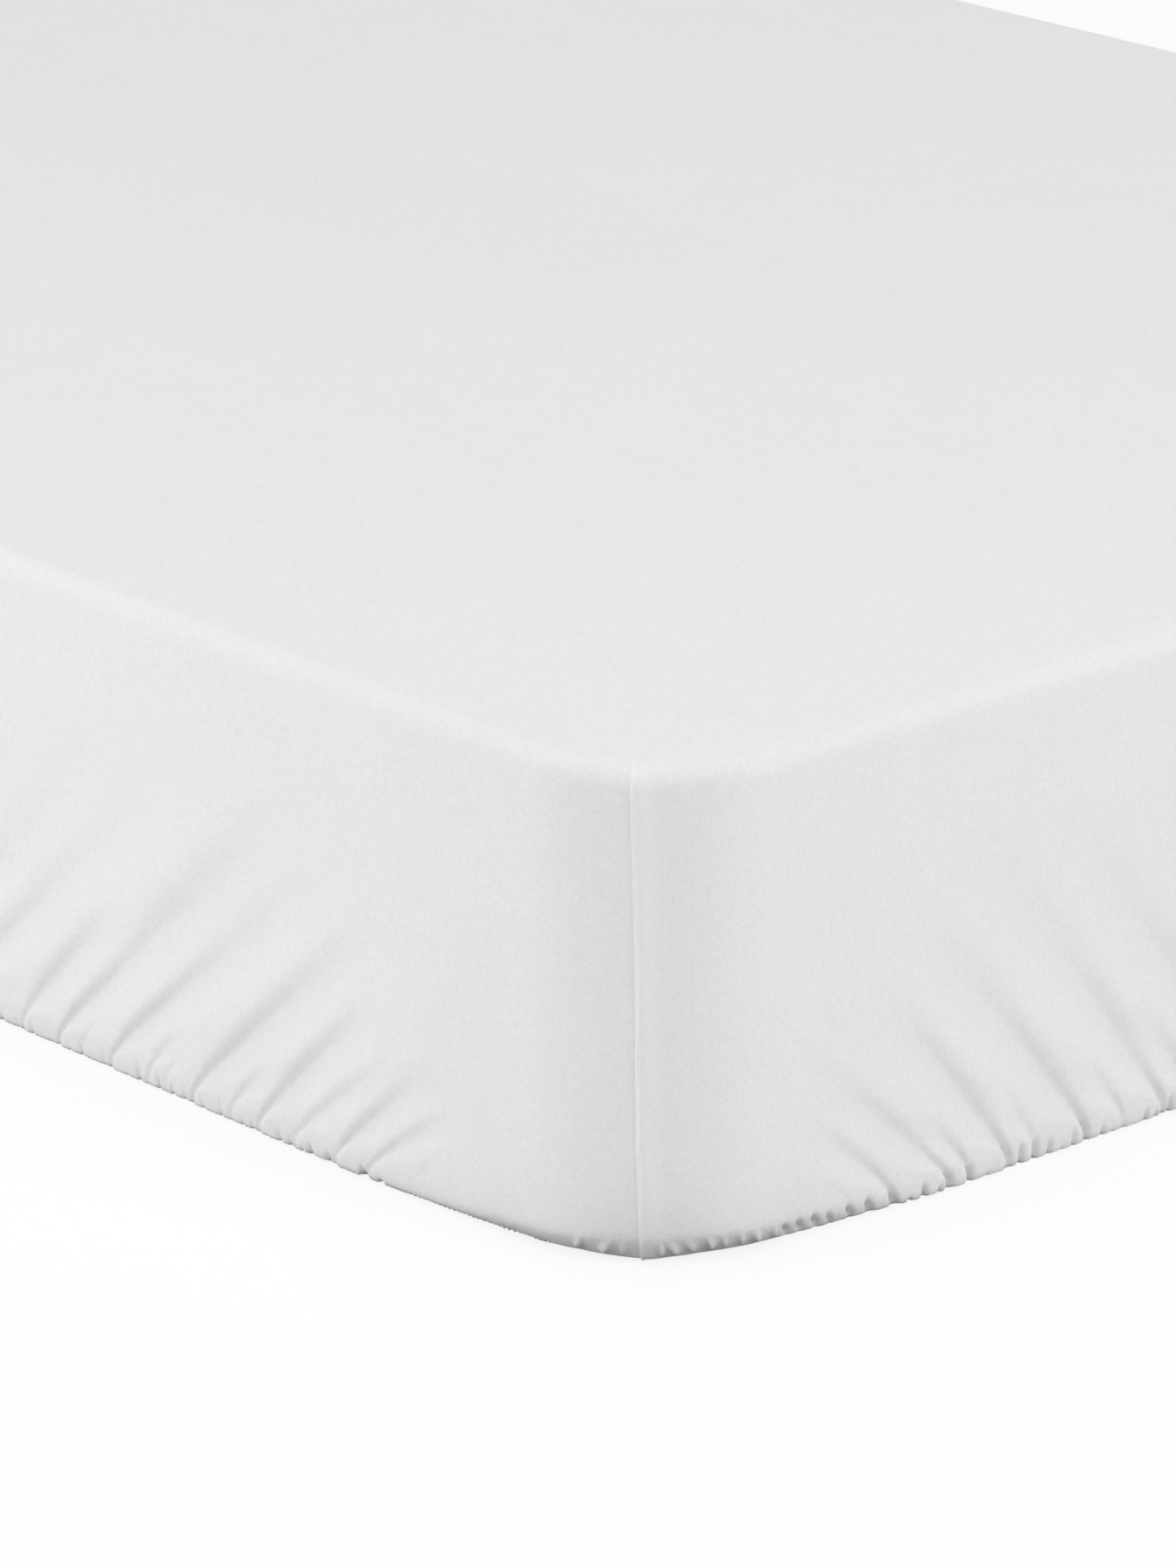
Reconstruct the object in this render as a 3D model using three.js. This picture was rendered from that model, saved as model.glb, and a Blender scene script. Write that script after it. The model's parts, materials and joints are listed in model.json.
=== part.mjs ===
// A fitted crib mattress protector on its mattress: a thin knitted cloth with a gathered hem, stretched over
// a foam slab. Millimetres, +Z up. The origin is the middle of the underside, the long side runs along X.
import * as THREE from "three";

// ---- Driving sizes ----
const MATTRESS = {
  length: 1311,
  width: 700,
  height: 140,
  corner: 48, // plan radius of the upright corners
  topEdge: 10, // rounding of the upper edge
  bottomEdge: 22, // rounding of the lower edge, which the hem is drawn under
};
const CLOTH = 1.5; // thickness of the knit with its waterproof backing
const EASE = 0.5; // air between the cloth and the mattress's flat sides
const CLOTH_CORNER = 44; // plan radius that the cloth follows at the mattress's side
const CLOTH_TOP_EDGE = 7; // rounding of the cloth's upper edge
const CORNER_STEPS = 8; // facets round each upright corner
const EDGE_STEPS = 3; // facets over the upper edge
const SMOOTH = 56; // the cloth is plain this far either side of a corner seam
const TUCK_FULL = 62; // the hem is drawn under this far either side of a corner seam
const TUCK_END = 112; // and hangs straight from here on

// Levels of the skirt from the lip of the hem upwards. `height` holds along the sides. At a corner the level
// is drawn in by `under`, sits at `cornerHeight` and the cloth faces down by `tilt` degrees.
const SKIRT_LEVELS = [
  { height: 2.4, under: 5.4, cornerHeight: 0.6, tilt: 52 },
  { height: 6, under: 2.8, cornerHeight: 3.4, tilt: 38 },
  { height: 12, under: 0.3, cornerHeight: 8.5, tilt: 12 },
  { height: 22, under: 0, cornerHeight: 22, tilt: 0 },
  { height: 36, under: 0, cornerHeight: 36, tilt: 0 },
  { height: 54, under: 0, cornerHeight: 54, tilt: 0 },
  { height: 78, under: 0, cornerHeight: 78, tilt: 0 },
  { height: 106, under: 0, cornerHeight: 106, tilt: 0 },
  { height: 135, under: 0, cornerHeight: 135, tilt: 0 },
];

// Folds from a corner seam outwards, one row each. `hem` and `head` are how far the crease lies from the seam
// at the hem and at its upper end, `rise` is how high it runs and `swell` is how far the cloth between
// it and the next crease stands proud.
const LONG_SIDE_FOLDS = [
  { hem: 84, head: 66, rise: 18, swell: 0.8 },
  { hem: 102, head: 76, rise: 24, swell: 1.1 },
  { hem: 116, head: 87, rise: 32, swell: 1.7 },
  { hem: 149.5, head: 107, rise: 46, swell: 2.3 },
  { hem: 179.5, head: 120, rise: 64, swell: 2.9 },
  { hem: 217, head: 134, rise: 78, swell: 2.3 },
  { hem: 242, head: 152, rise: 92, swell: 3.0 },
  { hem: 290, head: 192, rise: 100, swell: 2.5 },
  { hem: 332, head: 246, rise: 84, swell: 2.8 },
];
const SHORT_SIDE_FOLDS = [
  { hem: 67, head: 59, rise: 12, swell: 0.7 },
  { hem: 84.5, head: 64, rise: 27, swell: 1.1 },
  { hem: 104, head: 72, rise: 38, swell: 1.6 },
  { hem: 126.5, head: 87, rise: 54, swell: 2.2 },
  { hem: 158, head: 103, rise: 80, swell: 2.8 },
  { hem: 188.5, head: 126, rise: 94, swell: 2.7 },
  { hem: 224, head: 160, rise: 88, swell: 2.9 },
  { hem: 262, head: 216, rise: 70, swell: 2.4 },
];
// The straight middle of a side, where the elastic gathers the hem in near-upright folds.
const MIDDLE_FOLDS = { pitch: 42, rise: 50, swell: 2.3, lean: 0.9 };
const TALL_EVERY = 3; // each third crease line there goes on, plain, to the top
// Across a fold, from the crease nearer the corner to the next: the cloth climbs slowly and drops steeply.
const FOLD_SECTION = [
  { share: 0.36, amount: 0.7 },
  { share: 0.8, amount: 1 },
];
const NARROW_FOLD = 24; // folds narrower than this have one line between their creases
// How much the folds at each corner differ from the tables, in the order the corners are met.
const CORNER_TEMPER = [
  { spread: 1, strength: 1 },
  { spread: 1.04, strength: 0.9 },
  { spread: 0.97, strength: 1.1 },
  { spread: 1.06, strength: 0.95 },
];

const clamp = THREE.MathUtils.clamp;
const lerp = THREE.MathUtils.lerp;
const smoothstep = THREE.MathUtils.smoothstep;
const radians = THREE.MathUtils.degToRad;

// A rectangle with round corners, walked counter-clockwise from the middle of the corner at +X, -Y.
class Outline {
  constructor(length, width, corner) {
    this.corner = corner;
    this.arc = (corner * Math.PI) / 2;
    this.halfX = length / 2 - corner;
    this.halfY = width / 2 - corner;
    this.runs = [2 * this.halfY, 2 * this.halfX, 2 * this.halfY, 2 * this.halfX];
    this.sides = this.runs.map((run) => run + this.arc);
    this.girth = this.sides.reduce((sum, side) => sum + side, 0);
    this.centres = [
      [this.halfX, -this.halfY],
      [this.halfX, this.halfY],
      [-this.halfX, this.halfY],
      [-this.halfX, -this.halfY],
    ];
  }

  // Distance walked to the middle of a corner.
  cornerAt(index) {
    return this.sides.slice(0, index).reduce((sum, side) => sum + side, 0);
  }

  // The point `along` the outline and `out` from it.
  at(along, out) {
    let left = ((along % this.girth) + this.girth) % this.girth;
    let side = 0;
    while (side < 3 && left >= this.sides[side]) {
      left -= this.sides[side];
      side += 1;
    }
    const run = clamp(left - this.arc / 2, 0, this.runs[side]);
    const turned = (left - run) / this.corner;
    const normal = -Math.PI / 4 + (side * Math.PI) / 2 + turned;
    const heading = (side * Math.PI) / 2 + Math.PI / 2;
    const [x, y] = this.centres[side];
    return [
      x + Math.cos(heading) * run + Math.cos(normal) * (this.corner + out),
      y + Math.sin(heading) * run + Math.sin(normal) * (this.corner + out),
    ];
  }
}

// A mesh that grows by rings of points. A ring is a list of { key, index } in the order of its keys.
class RingMesh {
  constructor() {
    this.positions = [];
    this.triangles = [];
  }

  ring(columns, place) {
    return columns.map((column) => {
      this.positions.push(...place(column));
      return { key: column.key, index: this.positions.length / 3 - 1 };
    });
  }

  // Faces between two rings that need not have the same columns. The right-hand side of the walk is out.
  stitch(lower, upper, flip = false) {
    const keyOf = (ring, i) => (i < ring.length ? ring[i].key : Infinity);
    let i = 0;
    let j = 0;
    while (i < lower.length || j < upper.length) {
      const a = lower[i % lower.length].index;
      const b = upper[j % upper.length].index;
      const stepLower = keyOf(lower, i + 1) <= keyOf(upper, j + 1) ? i < lower.length : j >= upper.length;
      let next;
      if (stepLower) {
        i += 1;
        next = lower[i % lower.length].index;
      } else {
        j += 1;
        next = upper[j % upper.length].index;
      }
      this.triangles.push(...(flip ? [b, next, a] : [a, next, b]));
    }
  }

  // A flat face that closes a ring.
  cap(ring, flip = false) {
    const points = ring.map(({ index }) => new THREE.Vector2(...this.positions.slice(3 * index, 3 * index + 2)));
    for (const [a, b, c] of THREE.ShapeUtils.triangulateShape(points, [])) {
      const face = [ring[a].index, ring[b].index, ring[c].index];
      this.triangles.push(...(flip ? face.reverse() : face));
    }
  }

  geometry() {
    const made = new THREE.BufferGeometry();
    made.setAttribute("position", new THREE.Float32BufferAttribute(this.positions, 3));
    made.setIndex(this.triangles);
    made.computeVertexNormals();
    return made;
  }
}

// ---- Mattress: a plain slab with rounded corners and edges ----
function mattressGeometry() {
  const { length, width, height, corner, topEdge, bottomEdge } = MATTRESS;
  const outline = new Outline(length, width, corner);
  const columns = [];
  for (let side = 0; side < 4; side += 1) {
    for (let step = -CORNER_STEPS / 2; step <= CORNER_STEPS / 2; step += 1) {
      const key = outline.cornerAt(side) + (step / CORNER_STEPS) * outline.arc;
      columns.push({ key });
    }
  }
  const profile = [];
  for (let step = 0; step <= 4; step += 1) {
    const turn = radians(-90 + (step * 90) / 4);
    profile.push([bottomEdge * (Math.cos(turn) - 1), bottomEdge * (1 + Math.sin(turn))]);
  }
  for (let step = 0; step <= EDGE_STEPS; step += 1) {
    const turn = radians((step * 90) / EDGE_STEPS);
    profile.push([topEdge * (Math.cos(turn) - 1), height + topEdge * (Math.sin(turn) - 1)]);
  }
  const mesh = new RingMesh();
  const rings = profile.map(([out, z]) => mesh.ring(columns, ({ key }) => [...outline.at(key, out), z]));
  for (let i = 1; i < rings.length; i += 1) mesh.stitch(rings[i - 1], rings[i]);
  mesh.cap(rings[0], true);
  mesh.cap(rings[rings.length - 1]);
  return mesh.geometry();
}

// ---- Protector: one cloth with its folds, from the lip of the hem over the top ----
const clothOutline = new Outline(MATTRESS.length, MATTRESS.width, CLOTH_CORNER);

// Creases along one side, as distances walked from the corner it starts at. Corner tables run from both
// ends, and between them the folds stand at an uneven pitch.
function creasesOfSide(side) {
  const length = clothOutline.sides[side];
  const table = side % 2 === 0 ? SHORT_SIDE_FOLDS : LONG_SIDE_FOLDS;
  const fromCorner = (index) => {
    const { spread, strength } = CORNER_TEMPER[index % 4];
    return table.map((fold) => ({
      hem: fold.hem * spread,
      head: fold.head * spread,
      rise: fold.rise * strength,
      swell: fold.swell * strength,
    }));
  };
  const near = fromCorner(side);
  const far = fromCorner(side + 1)
    .reverse()
    .map((fold) => ({ ...fold, hem: length - fold.hem, head: length - fold.head }));
  const start = near[near.length - 1].hem;
  const gap = far[0].hem - start;
  const count = Math.round(gap / MIDDLE_FOLDS.pitch) - 1;
  const middle = [];
  for (let i = 1; i <= count; i += 1) {
    const share = i / (count + 1);
    const uneven = Math.sin(2.4 * i + side);
    const hem = start + gap * share + 5 * uneven;
    const lean = MIDDLE_FOLDS.lean * (2 * share - 1);
    const rise = MIDDLE_FOLDS.rise * (1 + 0.2 * uneven);
    const swell = MIDDLE_FOLDS.swell * (1 - 0.2 * uneven);
    middle.push({ hem, head: hem + lean * rise, rise, swell, tall: i % TALL_EVERY === 0 });
  }
  return { near, creases: [...near, ...middle, ...far] };
}

// Upright lines of the cloth: plain ones round the corners, then each crease and the swells between creases.
// A line ends at its `reach`.
function clothColumns() {
  const columns = [];
  const plain = { rise: Infinity, reach: Infinity, swell: 0 };
  for (let side = 0; side < 4; side += 1) {
    const corner = clothOutline.cornerAt(side);
    for (let step = -CORNER_STEPS / 2; step <= CORNER_STEPS / 2; step += 1) {
      const hem = corner + (step / CORNER_STEPS) * clothOutline.arc;
      columns.push({ ...plain, hem, head: hem });
    }
    for (const off of [SMOOTH, clothOutline.sides[side] - SMOOTH]) {
      columns.push({ ...plain, hem: corner + off, head: corner + off });
    }
    const { near, creases } = creasesOfSide(side);
    creases.forEach((fold, i) => {
      const nearStart = i < creases.length / 2;
      const crease = { hem: corner + fold.hem, head: corner + fold.head, rise: fold.rise, swell: 0 };
      columns.push({ ...crease, reach: fold.tall ? Infinity : fold.rise });
      const next = creases[i + 1];
      if (!next) return;
      const swell = i < near.length ? fold.swell : next.swell;
      const lines = next.hem - fold.hem < NARROW_FOLD ? FOLD_SECTION.slice(1) : FOLD_SECTION;
      for (const { share, amount } of lines) {
        const across = nearStart ? share : 1 - share;
        const hem = corner + lerp(fold.hem, next.hem, across);
        const head = corner + lerp(fold.head, next.head, across);
        const rise = lerp(fold.rise, next.rise, across);
        columns.push({ hem, head, rise, reach: rise, swell: swell * amount });
      }
    });
  }
  return columns.map((column) => ({ ...column, key: column.hem })).sort((a, b) => a.key - b.key);
}

// How far the hem is drawn under the mattress, from 1 at a corner to 0 along the sides.
function tuckAt(along) {
  const distances = [0, 1, 2, 3, 4].map((index) => Math.abs(along - clothOutline.cornerAt(index)));
  return 1 - smoothstep(Math.min(...distances), TUCK_FULL, TUCK_END);
}

// Where a leaning line of the cloth passes a height.
function alongAt({ hem, head, rise }, height) {
  return lerp(hem, head, clamp(height / rise, 0, 1));
}

// A point of the cloth: `depth` is how far below its outer face.
function skirtPoint(column, level, depth) {
  const { rise, swell } = column;
  const along = alongAt(column, level.height);
  const tuck = tuckAt(along);
  const gathered = lerp(0.45, 1, smoothstep(level.height, 0, 16));
  const fading = 1 - smoothstep(level.height, 0.35 * rise, 1.05 * rise);
  const proud = swell > 0 ? swell * gathered * fading : 0;
  const tilt = radians(level.tilt) * tuck;
  const out = EASE + CLOTH + proud - level.under * tuck - depth * Math.cos(tilt);
  const z = lerp(level.height, level.cornerHeight, tuck) + depth * Math.sin(tilt);
  return [...clothOutline.at(along, out), z];
}

// One face of the cloth as rings, from the lip upwards.
function clothFace(mesh, columns, depth) {
  const rings = SKIRT_LEVELS.map((level) =>
    mesh.ring(
      columns.filter(({ reach }) => reach > 0.85 * level.height),
      (column) => skirtPoint(column, level, depth),
    ),
  );
  const plain = columns.filter(({ reach }) => reach === Infinity);
  const edgeFoot = SKIRT_LEVELS[SKIRT_LEVELS.length - 1].height;
  for (let step = 1; step <= EDGE_STEPS; step += 1) {
    const turn = radians((step * 90) / EDGE_STEPS);
    const radius = CLOTH_TOP_EDGE - depth;
    const out = EASE + CLOTH - CLOTH_TOP_EDGE + radius * Math.cos(turn);
    const z = edgeFoot + radius * Math.sin(turn);
    rings.push(mesh.ring(plain, (column) => [...clothOutline.at(alongAt(column, edgeFoot), out), z]));
  }
  return rings;
}

function protectorGeometry() {
  const columns = clothColumns();
  const mesh = new RingMesh();
  const outer = clothFace(mesh, columns, 0);
  const inner = clothFace(mesh, columns, CLOTH);
  for (let i = 1; i < outer.length; i += 1) {
    mesh.stitch(outer[i - 1], outer[i]);
    mesh.stitch(inner[i - 1], inner[i], true);
  }
  mesh.stitch(inner[0], outer[0]);
  mesh.cap(outer[outer.length - 1]);
  mesh.cap(inner[inner.length - 1], true);
  return mesh.geometry();
}

// ---- The part ----
function piece(name, geometry, color, roughness) {
  const material = new THREE.MeshStandardMaterial({ color, roughness, metalness: 0 });
  const mesh = new THREE.Mesh(geometry, material);
  mesh.name = name;
  return mesh;
}

const part = new THREE.Group();
part.add(piece("mattress", mattressGeometry(), 0xe2ded4, 0.9));
part.add(piece("protector", protectorGeometry(), 0xeceded, 0.95));

export default part;
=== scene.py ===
# %% [markdown]
# # A fitted mattress protector on a crib mattress
# The protector is one knitted cloth with a sewn dart at each corner and an elastic drawn through its hem.
# It is pulled over a foam mattress, so its top is smooth, and the elastic gathers the foot of its skirt
# into folds that lean towards the corners. This lesson builds that cloth as one fine mesh from a few
# tables of folds, then the foam, the finishes, the light and the camera.

# %% Load the frame
import json
import math

import bpy
import numpy as np
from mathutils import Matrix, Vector

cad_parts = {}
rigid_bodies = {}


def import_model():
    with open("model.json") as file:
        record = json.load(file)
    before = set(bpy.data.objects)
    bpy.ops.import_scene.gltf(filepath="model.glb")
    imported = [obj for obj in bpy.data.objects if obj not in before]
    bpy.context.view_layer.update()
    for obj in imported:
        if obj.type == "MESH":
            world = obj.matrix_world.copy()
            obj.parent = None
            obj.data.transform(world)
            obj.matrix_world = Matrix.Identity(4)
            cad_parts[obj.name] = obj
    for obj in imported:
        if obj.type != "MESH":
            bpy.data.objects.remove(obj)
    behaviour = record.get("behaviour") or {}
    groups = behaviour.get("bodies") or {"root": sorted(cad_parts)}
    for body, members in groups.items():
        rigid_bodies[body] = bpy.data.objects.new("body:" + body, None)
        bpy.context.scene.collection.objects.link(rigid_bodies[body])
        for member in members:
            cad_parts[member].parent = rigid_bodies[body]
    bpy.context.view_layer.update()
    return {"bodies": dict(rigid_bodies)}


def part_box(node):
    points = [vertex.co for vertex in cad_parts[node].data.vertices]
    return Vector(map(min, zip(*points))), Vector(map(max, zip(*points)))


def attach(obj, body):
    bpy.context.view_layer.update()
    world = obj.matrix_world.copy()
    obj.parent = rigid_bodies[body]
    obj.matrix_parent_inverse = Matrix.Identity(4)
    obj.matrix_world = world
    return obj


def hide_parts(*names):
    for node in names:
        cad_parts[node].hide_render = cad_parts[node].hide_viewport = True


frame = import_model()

MM = 0.001

# %% [markdown]
# ## The sizes that everything follows
# A maker cuts the protector to the mattress, so the mattress's own box gives nearly every size here. The
# cloth is 1.5 mm thick and lies half a millimetre off the foam, which together is how far its outer face
# stands from the mattress's sides.

# %% Sizes from the mattress
foam_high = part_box("mattress")[1]
cloth_low, cloth_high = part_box("protector")
HALF_LONG = foam_high.x
HALF_SHORT = foam_high.y
TOP = cloth_high.z
FACE_OUT = cloth_high.z - foam_high.z
CLOTH_THICK = 1.5 * MM
CORNER = 44 * MM
EDGE_ROUND = 7 * MM
EDGE_FOOT = TOP - EDGE_ROUND
print(f"cloth over {2 * HALF_LONG:.3f} x {2 * HALF_SHORT:.3f} m of foam, top at {TOP:.3f} m")

# %% [markdown]
# ## Walking round the mattress
# Seen from above the skirt follows a rectangle with round corners. Every part of the cloth is easier to
# place by two numbers, how far round the mattress it is and how far out from its side, so one function
# turns those into a place. The walk starts at the middle of one corner, goes along a short side first and
# meets a corner at the start of each side.

# %% The walk
ARC = CORNER * math.pi / 2
RUNS = np.array([2 * (HALF_SHORT - CORNER), 2 * (HALF_LONG - CORNER)] * 2)
SIDES = RUNS + ARC
STARTS = np.concatenate([[0], np.cumsum(SIDES)[:-1]])
GIRTH = SIDES.sum()
CENTRE_X = (HALF_LONG - CORNER) * np.array([1, 1, -1, -1])
CENTRE_Y = (HALF_SHORT - CORNER) * np.array([-1, 1, 1, -1])


def side_of(along):
    """Which side a distance falls on, and how far past that side's first corner it is."""
    left = np.mod(along, GIRTH)
    side = np.clip(np.searchsorted(STARTS, left, side="right") - 1, 0, 3)
    return side, left - STARTS[side]


def walk(along, out):
    """Places on the outline, `out` beyond the mattress's side."""
    side, left = side_of(along)
    run = np.clip(left - ARC / 2, 0, RUNS[side])
    normal = -math.pi / 4 + side * math.pi / 2 + (left - run) / CORNER
    heading = side * math.pi / 2 + math.pi / 2
    x = CENTRE_X[side] + np.cos(heading) * run + np.cos(normal) * (CORNER + out)
    y = CENTRE_Y[side] + np.sin(heading) * run + np.sin(normal) * (CORNER + out)
    return x, y


def from_seam(along):
    """Distance from the nearest corner seam: below zero on a long side, above zero on a short one."""
    side, left = side_of(along)
    near = np.minimum(left, SIDES[side] - left)
    return np.where(side % 2 == 0, near, -near)


def nearest_corner(along):
    """The number of the nearest corner. Corner 0 is where the walk starts."""
    side, left = side_of(along)
    return np.where(left <= SIDES[side] - left, side, (side + 1) % 4)


print(f"girth {GIRTH:.3f} m, sides {SIDES[0]:.3f} and {SIDES[1]:.3f} m")

# %% [markdown]
# ## Small curves used again and again
# A fold fades in and out gently. `ease` is the usual smooth step between two values, and `bump` a soft hill.

# %% Ease and bump
def ease(value, start, end):
    share = np.clip((value - start) / (end - start), 0, 1)
    return share * share * (3 - 2 * share)


def bump(distance, width):
    return np.exp(-((distance / width) ** 2))


# %% [markdown]
# ## The creases that lean towards a corner
# Near a corner the cloth is pulled by the seam and by the elastic at once, so each crease starts at the
# hem and leans towards the corner as it climbs. A simulation would give folds of its own; these are listed
# instead, one row to a crease, so that their unevenness can be chosen. `hem` and `head` are how far the
# crease lies from the seam at the hem and where it dies out, `rise` is how high that is, all in
# millimetres, and `depth` is 1 for the deepest.

# %% Crease tables
LONG_SIDE_CREASES = [
    # hem, head, rise, depth
    (84, 68, 18, 0.15), (102, 72, 26, 0.85), (114.5, 83, 34, 0.95), (132, 98, 34, 0.60),
    (147.5, 106, 48, 0.95), (160, 146, 19, 0.50), (177.5, 108, 70, 1.00), (189, 183, 13, 0.30),
    (197, 183, 21, 0.45), (215, 129, 82, 0.95), (227, 220, 14, 0.30), (239, 145, 96, 1.00),
    (256, 219, 46, 0.75), (288, 188, 104, 0.80), (302, 294, 17, 0.40), (312, 222, 102, 0.85),
    (330, 312, 26, 0.35), (346, 268, 84, 0.85), (372, 300, 80, 0.80),
]
SHORT_SIDE_CREASES = [
    (67, 60, 12, 0.20), (84, 54, 31, 1.00), (104, 62, 42, 0.95), (110.5, 97, 21, 0.66),
    (126, 83, 60, 1.00), (135, 124, 25, 0.34), (156.5, 94, 84, 1.00), (170.5, 158, 22, 0.50),
    (187, 120, 100, 1.00), (197, 183, 30, 0.60), (220, 150, 102, 0.90), (238, 228, 20, 0.35),
    (258, 200, 84, 0.80),
]

# %% [markdown]
# ## The creases between the corners
# Further along a side the elastic alone gathers the hem, and the creases stand nearly upright at an uneven
# pitch. They come from a loop with a seeded random source, so the cloth is the same each time. The other
# three corners use the same tables, spread and softened a little, because no two corners are alike.

# %% All the creases of a side
CORNER_TEMPER = [(1.0, 1.0), (1.04, 0.88), (0.97, 1.05), (1.06, 0.92)]
CREASE_SEED = 40
MIDDLE_PITCH = 21
MIDDLE_SHIFT = 6
MIDDLE_RISE = 46
MAIN_RISES, SMALL_RISES = (0.9, 1.5), (0.3, 0.6)
MAIN_DEPTHS, SMALL_DEPTHS = (0.65, 0.95), (0.2, 0.4)


def creases_of(side):
    """Rows of hem, head, rise and depth in metres, and 1 if they lean to the side's first corner or -1."""
    table = SHORT_SIDE_CREASES if side % 2 == 0 else LONG_SIDE_CREASES
    length = SIDES[side] / MM
    rows = []
    spread, strength = CORNER_TEMPER[side]
    for hem, head, rise, depth in table:
        rows.append((hem * spread, head * spread, rise * strength, depth * strength, 1))
    start = rows[-1][0]
    spread, strength = CORNER_TEMPER[(side + 1) % 4]
    far = [
        (length - hem * spread, length - head * spread, rise * strength, depth * strength, -1)
        for hem, head, rise, depth in table
    ]
    end = far[-1][0]
    chance = np.random.default_rng(CREASE_SEED + side)
    count = int(round((end - start) / MIDDLE_PITCH)) - 1
    for step in range(1, count + 1):
        share = step / (count + 1)
        hem = start + (end - start) * share + chance.uniform(-MIDDLE_SHIFT, MIDDLE_SHIFT)
        main = step % 2 == 0
        rise = MIDDLE_RISE * chance.uniform(*(MAIN_RISES if main else SMALL_RISES))
        depth = chance.uniform(*(MAIN_DEPTHS if main else SMALL_DEPTHS))
        leaning = 1 if share < 0.5 else -1
        head = hem + (2 * share - 1) * rise
        rows.append((hem, head, rise, depth, leaning))
    rows += far
    return np.array([(h * MM, t * MM, r * MM, d, way) for h, t, r, d, way in rows])


CREASES = [creases_of(side) for side in range(4)]
print("creases on each side:", [len(rows) for rows in CREASES])

# %% [markdown]
# ## How far the cloth swells out
# The gathered cloth swells a few millimetres off the mattress. It is fullest from a finger's width above
# the hem to nearly half-way up, and lies flat again below the top edge. Round a corner the cloth is pulled
# flat, and going away from the seam it takes a hand's breadth for the swelling to reach its full depth.

# %% The swell
SWELL_MOST = 3.9 * MM
SWELL_FROM_SEAM = (20 * MM, 108 * MM)
SWELL_AT_FOOT = 0.70
SWELL_CLIMB = 8 * MM
SWELL_FALL = (56 * MM, 134 * MM)


def swell_at(seam_distance, height):
    reach = ease(np.abs(seam_distance), *SWELL_FROM_SEAM)
    climb = SWELL_AT_FOOT + (1 - SWELL_AT_FOOT) * ease(height, 0, SWELL_CLIMB)
    return SWELL_MOST * reach * climb * (1 - ease(height, *SWELL_FALL))


# %% [markdown]
# ## How a crease cuts into the swell
# A crease leaves the hem upright and then leans, which the bend function gives. Across it the section is
# lopsided. The fold hangs a little over the crease on the side away from the corner, so it drops steeply
# there, and towards the corner the cloth comes out again gently. Inside the stitched hem a crease is only
# a thin line. Above the stitching it opens at once, and both slopes go on widening as it climbs.

# %% One crease
FOOT_HEIGHTS = np.array([0, 2, 4, 7, 11, 16, 22]) * MM
FOOT_SHARE_SHORT = np.array([0.05, 0.14, 0.42, 0.60, 0.74, 0.90, 1])
FOOT_SHARE_LONG = np.array([0.04, 0.10, 0.27, 0.35, 0.52, 0.82, 1.0])
WIDTH_HEIGHTS = np.array([0, 8.5, 11, 14, 20, 100]) * MM
GENTLE_WIDTHS = np.array([1.2, 1.6, 5.0, 8.4, 11.0, 40.4]) * MM
STEEP_WIDTHS = np.array([0.9, 0.9, 1.5, 2.5, 3.3, 12.4]) * MM
STEEP_SHIFT = 0.7
BEND_NEAR = 4 * MM
BEND_FAR = 6 * MM
BEND_CHANGES = (104 * MM, 140 * MM)
DIES_FROM, DIES_BY = 0.7, 1.3
DEEPEST_CUT = 0.97


def bend(height, upright):
    """How far a crease has leaned at a height, if it stays nearly upright up to about `upright`."""
    return np.sqrt(np.maximum(height, 0) ** 2 + upright**2) - upright


def crease_cut(left, height, row, side):
    """From 0 to 1, how far one crease cuts into the swell at places on its side."""
    hem, head, rise, depth, way = row
    from_corner = min(hem, SIDES[side] - hem)
    upright = BEND_NEAR + (BEND_FAR - BEND_NEAR) * ease(from_corner, *BEND_CHANGES)
    line = hem + (head - hem) * bend(height, upright) / bend(rise, upright)
    steep = np.interp(height, WIDTH_HEIGHTS, STEEP_WIDTHS)
    gentle = np.interp(height, WIDTH_HEIGHTS, GENTLE_WIDTHS)
    beyond = (left - line) * way + STEEP_SHIFT * steep
    across = np.where(beyond < 0, bump(beyond, gentle), bump(beyond, steep))
    foot = np.interp(height, FOOT_HEIGHTS, FOOT_SHARE_LONG if side % 2 else FOOT_SHARE_SHORT)
    return depth * across * foot * (1 - ease(height, DIES_FROM * rise, DIES_BY * rise))


def creased(along, height):
    """How much of the swell is left, from 1 on a fold's crown to 0 in a deep crease."""
    side, left = side_of(along)
    kept = np.ones(along.shape)
    for index, rows in enumerate(CREASES):
        here = side == index
        part = np.ones(here.sum())
        for row in rows:
            part *= 1 - np.clip(crease_cut(left[here], height[here], row, index), 0, DEEPEST_CUT)
        kept[here] = part
    return kept


# %% [markdown]
# ## The hem band
# The hem is the cloth turned over and sewn down round the elastic. That band is about a finger's width high
# and thicker than the single cloth above it. Between two creases it stands out as a little pillow, whose
# upper edge rises from the crease in an arc.

# %% Pillows of the band
PILLOW_PROUD = 0.55 * MM
PILLOW_FOOT = 6.5 * MM
PILLOW_RISE = 7.0 * MM
PILLOW_RISE_LONG = 0.55
PILLOW_DEEP_ENOUGH = 0.55
PILLOW_LEAN = 1.18
STITCH_ABOVE = 0.8 * MM
STITCH_DEEP = 0.12 * MM
STITCH_WIDE = 0.9 * MM


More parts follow.
